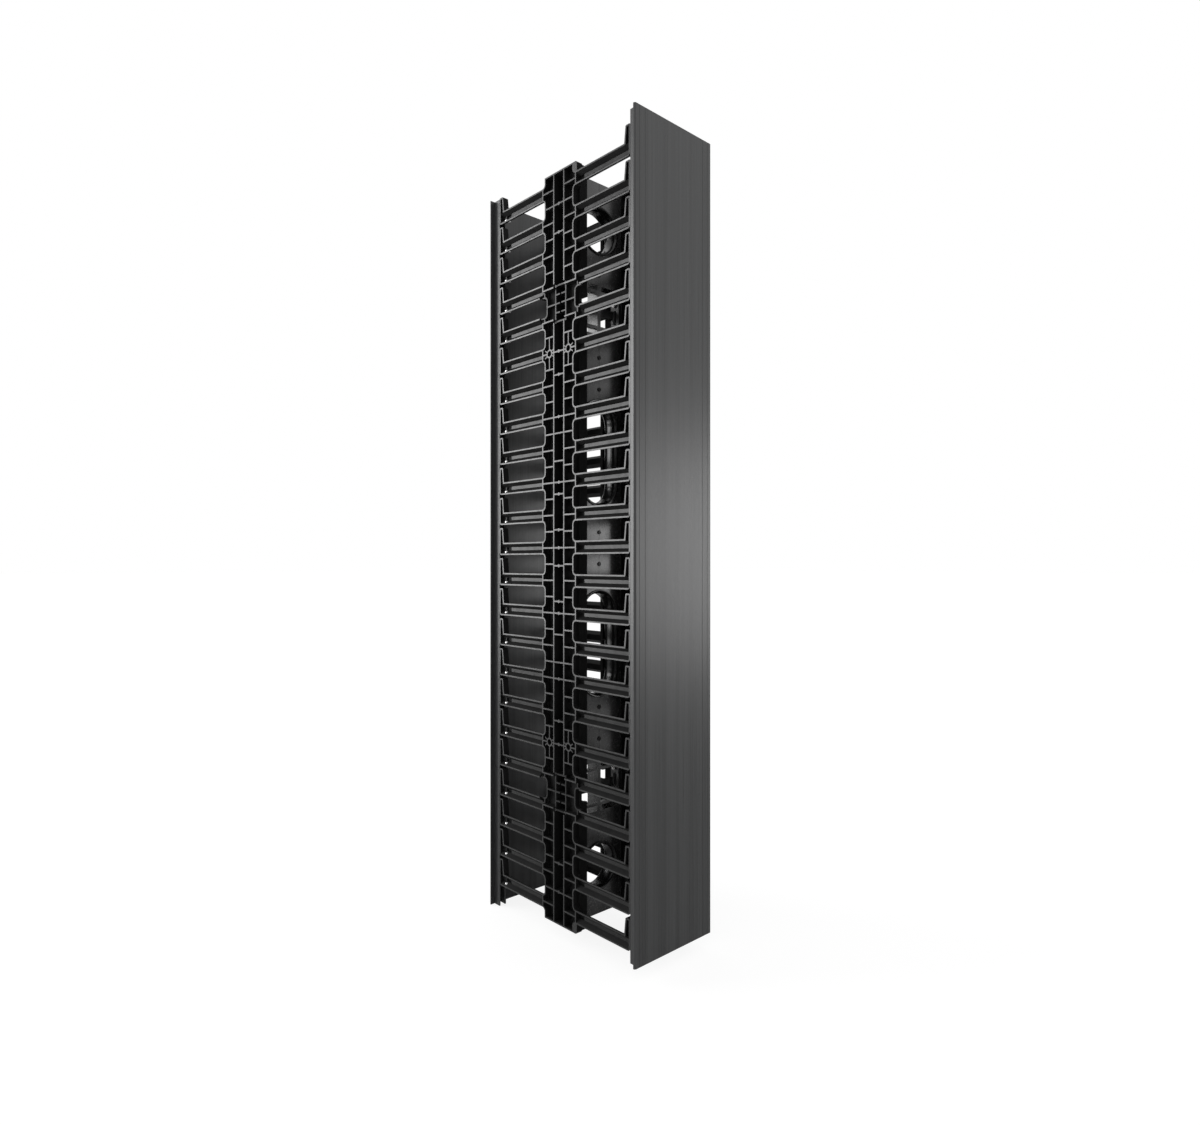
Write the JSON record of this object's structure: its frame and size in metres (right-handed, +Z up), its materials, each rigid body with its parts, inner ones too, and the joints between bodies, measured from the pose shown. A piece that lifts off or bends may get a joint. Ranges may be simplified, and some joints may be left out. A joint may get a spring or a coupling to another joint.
{
  "type": "vertical cable manager",
  "caption": "Tall rack-side cable manager: two walls of moulded fingers around a mid panel with pass-through holes, with a snap-fit cover on the front and on the rear.",
  "frame": {"origin": "centre of the left line of rack bolts, on the seat of the bolt heads, at mid-height", "axes": "+X across the width to the right wall, -Y towards the front cover, +Z up"},
  "size_m": [0.144, 0.3048, 1.0657],
  "materials": {
    "wall_plastic": "black moulded, fine satin grain",
    "panel_plastic": "black moulded, satin",
    "rim_plastic": "black, smooth and slightly glossy",
    "cover_plastic": "dark grey extrusion with fine streaks along its length",
    "bracket_steel": "black powder coat",
    "zinc_fastener": "zinc plated",
    "black_fastener": "black oxide"
  },
  "bodies": {
    "frame": {"left_spine": "wall_plastic", "right_spine": "wall_plastic", "left_front_fingers": "wall_plastic", "left_rear_fingers": "wall_plastic", "right_front_fingers": "wall_plastic", "right_rear_fingers": "wall_plastic", "left_mid_panel": "panel_plastic", "right_mid_panel": "panel_plastic", "left_long_hole_rims": "rim_plastic", "right_long_hole_rims": "rim_plastic", "left_round_hole_rims": "rim_plastic", "right_round_hole_rims": "rim_plastic", "upper_bracket": "bracket_steel", "lower_bracket": "bracket_steel", "upper_bracket_screws": "zinc_fastener", "lower_bracket_screws": "zinc_fastener", "upper_bracket_nuts": "zinc_fastener", "lower_bracket_nuts": "zinc_fastener", "seam_screws": "black_fastener", "seam_nuts": "zinc_fastener"},
    "front_cover": {"front_cover": "cover_plastic"},
    "rear_cover": {"rear_cover": "cover_plastic"}
  },
  "joints": [
    {"name": "front_cover_pull", "type": "slide", "parent": "frame", "child": "front_cover", "axis": [0, -1, 0], "range_m": [0, 0.06]},
    {"name": "rear_cover_pull", "type": "slide", "parent": "frame", "child": "rear_cover", "axis": [0, 1, 0], "range_m": [0, 0.06]}
  ]
}
